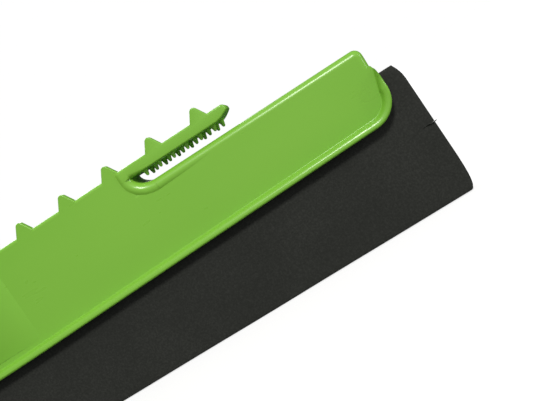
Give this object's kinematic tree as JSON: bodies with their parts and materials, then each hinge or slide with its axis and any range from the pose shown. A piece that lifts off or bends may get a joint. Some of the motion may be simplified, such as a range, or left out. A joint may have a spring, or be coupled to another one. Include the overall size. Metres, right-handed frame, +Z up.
{
  "type": "floor squeegee head",
  "caption": "Wide squeegee head: moulded channel holder with a centre pole socket, cloth-hooking teeth, sprung cloth clip arms at both ends and a two-layer foam blade.",
  "frame": {"origin": "middle of the blade's working edge, on the surface that the blade stands on", "axes": "+X along the head towards its right end, +Y from the toothed front face to the back, +Z up from the working edge to the pole socket"},
  "size_m": [0.404, 0.0334, 0.118],
  "materials": {
    "green_plastic": "glossy injection-moulded polypropylene, leaf green",
    "blade_foam": "matte charcoal closed-cell EVA foam with a fine speckle"
  },
  "bodies": {
    "holder": {"holder_body": "green_plastic", "pole_socket": "green_plastic"},
    "right_clip": {"right_clip_arm": "green_plastic"},
    "left_clip": {"left_clip_arm": "green_plastic"},
    "blade": {"front_foam_strip": "blade_foam", "rear_foam_strip": "blade_foam"}
  },
  "joints": [
    {"name": "right_clip_flex", "type": "hinge", "parent": "holder", "child": "right_clip", "pos_m": [0.0974, 0, 0.07387], "axis": [0, -1, 0], "range_deg": [-2, 5], "stiffness_Nm_per_rad": 8},
    {"name": "left_clip_flex", "type": "hinge", "parent": "holder", "child": "left_clip", "pos_m": [-0.0974, 0, 0.07387], "axis": [0, 1, 0], "range_deg": [-2, 5], "stiffness_Nm_per_rad": 8},
    {"name": "blade_slide", "type": "slide", "parent": "holder", "child": "blade", "axis": [1, 0, 0], "range_m": [0, 0.38]}
  ]
}
